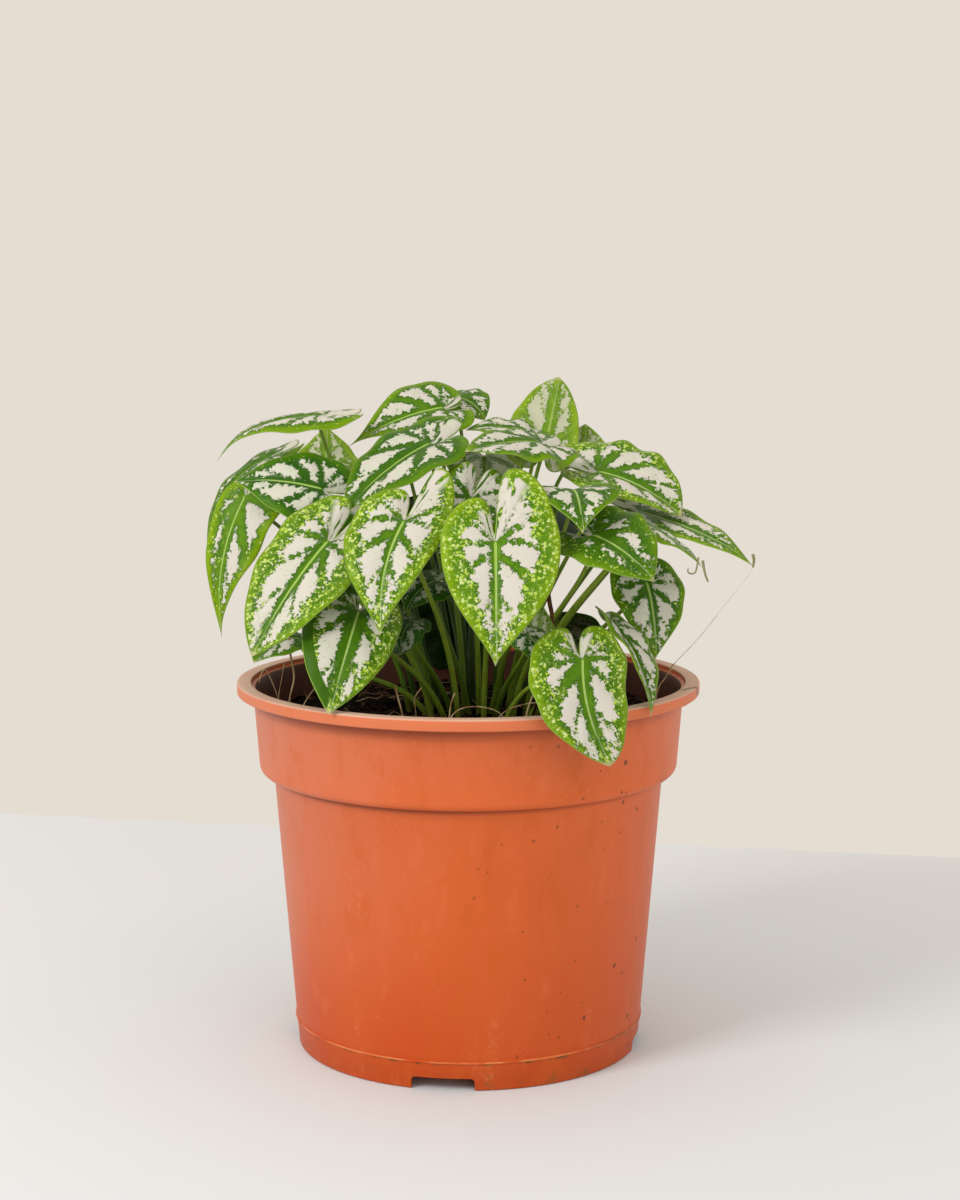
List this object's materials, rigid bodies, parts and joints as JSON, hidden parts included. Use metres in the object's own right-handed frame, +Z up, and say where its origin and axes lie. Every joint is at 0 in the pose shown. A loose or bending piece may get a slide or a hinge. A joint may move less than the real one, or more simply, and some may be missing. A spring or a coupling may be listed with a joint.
{
  "type": "potted caladium plant",
  "caption": "Potted miniature caladium: a tapered nursery pot with a collar, filled with soil, and a dense crown of heart-shaped variegated leaves on slim arching stalks.",
  "frame": {"origin": "on the pot's axis, at the plane of its foot", "axes": "+Z up, -Y towards the side that the picture shows, +X to the right of that side"},
  "size_m": [0.1978, 0.1831, 0.2447],
  "materials": {
    "pot": "satin terracotta-coloured plastic",
    "soil": "rough and crumbly",
    "leaf": "soft satin, pale patches between green veins"
  },
  "bodies": {
    "root": {"pot": "pot", "soil": "soil", "leaf_left_arching": "leaf", "leaf_left_rear_upright": "leaf", "leaf_left_middle": "leaf", "leaf_left_outer": "leaf", "leaf_left_hanging": "leaf", "leaf_front_left": "leaf", "leaf_low_left": "leaf", "leaf_front_mid_left": "leaf", "leaf_front_centre": "leaf", "leaf_low_front_left": "leaf", "leaf_top_left": "leaf", "leaf_top_left_rear": "leaf", "leaf_top_small": "leaf", "leaf_rear_upright": "leaf", "leaf_rear_small": "leaf", "leaf_right_upper": "leaf", "leaf_right_long": "leaf", "leaf_right_narrow": "leaf", "leaf_right_centre": "leaf", "leaf_right_front_small": "leaf", "leaf_top_centre": "leaf", "leaf_top_centre_front": "leaf", "leaf_behind_centre": "leaf", "leaf_low_front_right": "leaf", "leaf_low_right_folded": "leaf", "leaf_low_right": "leaf", "leaf_inner_upper": "leaf", "leaf_inner_round": "leaf", "leaf_inner_small": "leaf", "leaf_inner_young": "leaf", "leaf_back_top_left": "leaf", "leaf_back_top": "leaf", "leaf_back_left": "leaf", "leaf_back_centre": "leaf", "leaf_back_right": "leaf", "leaf_back_far_right": "leaf", "leaf_back_low_left": "leaf", "leaf_back_low": "leaf", "leaf_back_low_right": "leaf"}
  },
  "joints": []
}
